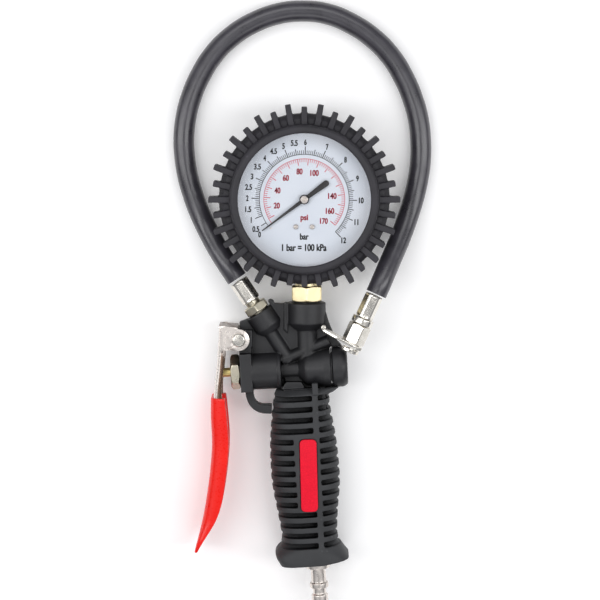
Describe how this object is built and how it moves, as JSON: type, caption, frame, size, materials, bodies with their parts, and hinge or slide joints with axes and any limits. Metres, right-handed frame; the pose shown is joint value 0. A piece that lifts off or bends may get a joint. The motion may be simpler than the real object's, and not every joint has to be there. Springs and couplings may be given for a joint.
{
  "type": "tyre inflator with gauge",
  "caption": "Hand-held tyre inflator: dial gauge in a finned rubber boot, trigger valve, ribbed grip, air inlet plug, and a hose with a clip-on chuck.",
  "frame": {"origin": "under the middle of the gauge dial, on the flat back of the boot, in the plane that the tool rests on when it lies on its back", "axes": "+Z out of the dial, +Y from the grip towards the gauge, +X to the right as the dial is read"},
  "size_m": [0.1495, 0.3554, 0.039],
  "materials": {
    "boot_rubber": "moulded matt black rubber",
    "grip_rubber": "moulded black rubber, slight sheen",
    "black_casting": "satin black powder coat on a casting",
    "hose_rubber": "smooth dark grey hose",
    "seal_rubber": "black nitrile",
    "nickel": "bright nickel plate",
    "steel": "plated steel",
    "brass": "machined brass",
    "aluminium": "drawn tube",
    "red_vinyl": "glossy dipped vinyl",
    "label_red": "blank printed badge",
    "dial_white": "white lacquer with printed scales",
    "pointer_black": "black lacquer",
    "lens_glass": "clear flat lens"
  },
  "bodies": {
    "inflator": {"boot": "boot_rubber", "gauge_case": "steel", "bezel": "steel", "lens": "lens_glass", "dial": "dial_white", "dial_screw_1": "steel", "dial_screw_2": "steel", "movement_back_plate": "brass", "movement_front_plate": "brass", "bourdon_tube": "brass", "gauge_stem": "brass", "stem_seal": "seal_rubber", "valve_body": "black_casting", "valve_nut": "nickel", "valve_spring": "steel", "end_cap": "black_casting", "cap_seal": "seal_rubber", "pivot_pin": "nickel", "pin_clip": "steel", "handle_tube": "aluminium", "grip": "grip_rubber", "label_badge": "label_red", "inlet_plug": "steel", "hose_adaptor": "nickel", "ferrule_left": "nickel", "hose": "hose_rubber", "ferrule_right": "nickel", "chuck_tail": "nickel", "chuck_body": "nickel", "chuck_seal": "seal_rubber", "depressor": "brass"},
    "trigger": {"trigger": "steel", "trigger_sleeve": "red_vinyl"},
    "plunger": {"plunger": "brass", "plunger_seal": "seal_rubber", "poppet": "brass", "poppet_seal": "seal_rubber"},
    "sector": {"sector_gear": "brass"},
    "pointer": {"pinion_shaft": "brass", "pointer": "pointer_black"},
    "link": {"link": "brass"},
    "chuck_plate": {"chuck_plate": "nickel"}
  },
  "joints": [
    {"name": "trigger_squeeze", "type": "hinge", "parent": "inflator", "child": "trigger", "pos_m": [-0.0378, -0.0813, 0.017], "axis": [0, 0, 1], "range_deg": [0, 11], "stiffness_Nm_per_rad": 3, "springref_deg": -8.59},
    {"name": "plunger_push", "type": "slide", "parent": "inflator", "child": "plunger", "axis": [0.9986, 0.0523, 0], "range_m": [0, 0.00406], "deforming": ["valve_spring"]},
    {"name": "sector_turn", "type": "hinge", "parent": "inflator", "child": "sector", "pos_m": [0.01672, -0.01506, 0.017], "axis": [0, 0, 1], "range_deg": [0, 32.85], "stiffness_Nm_per_rad": 0.02, "springref_deg": -5.73},
    {"name": "pointer_turn", "type": "hinge", "parent": "inflator", "child": "pointer", "pos_m": [0, 0, 0.031], "axis": [0, 0, 1], "range_deg": [-262.9, 0]},
    {"name": "link_swing", "type": "hinge", "parent": "sector", "child": "link", "pos_m": [0.02072, -0.02196, 0.0155], "axis": [0, 0, 1], "range_deg": [-32.9, 0]},
    {"name": "chuck_plate_tilt", "type": "hinge", "parent": "inflator", "child": "chuck_plate", "pos_m": [0.03149, -0.08608, 0.027], "axis": [0, 0, 1], "range_deg": [0, 5], "stiffness_Nm_per_rad": 0.3, "springref_deg": -8.59}
  ],
  "couplings": [
    {"joint": "plunger_push", "follows": "trigger_squeeze", "m_per_rad": 0.0211},
    {"joint": "pointer_turn", "follows": "sector_turn", "ratio": -8},
    {"joint": "link_swing", "follows": "sector_turn", "ratio": -1}
  ]
}
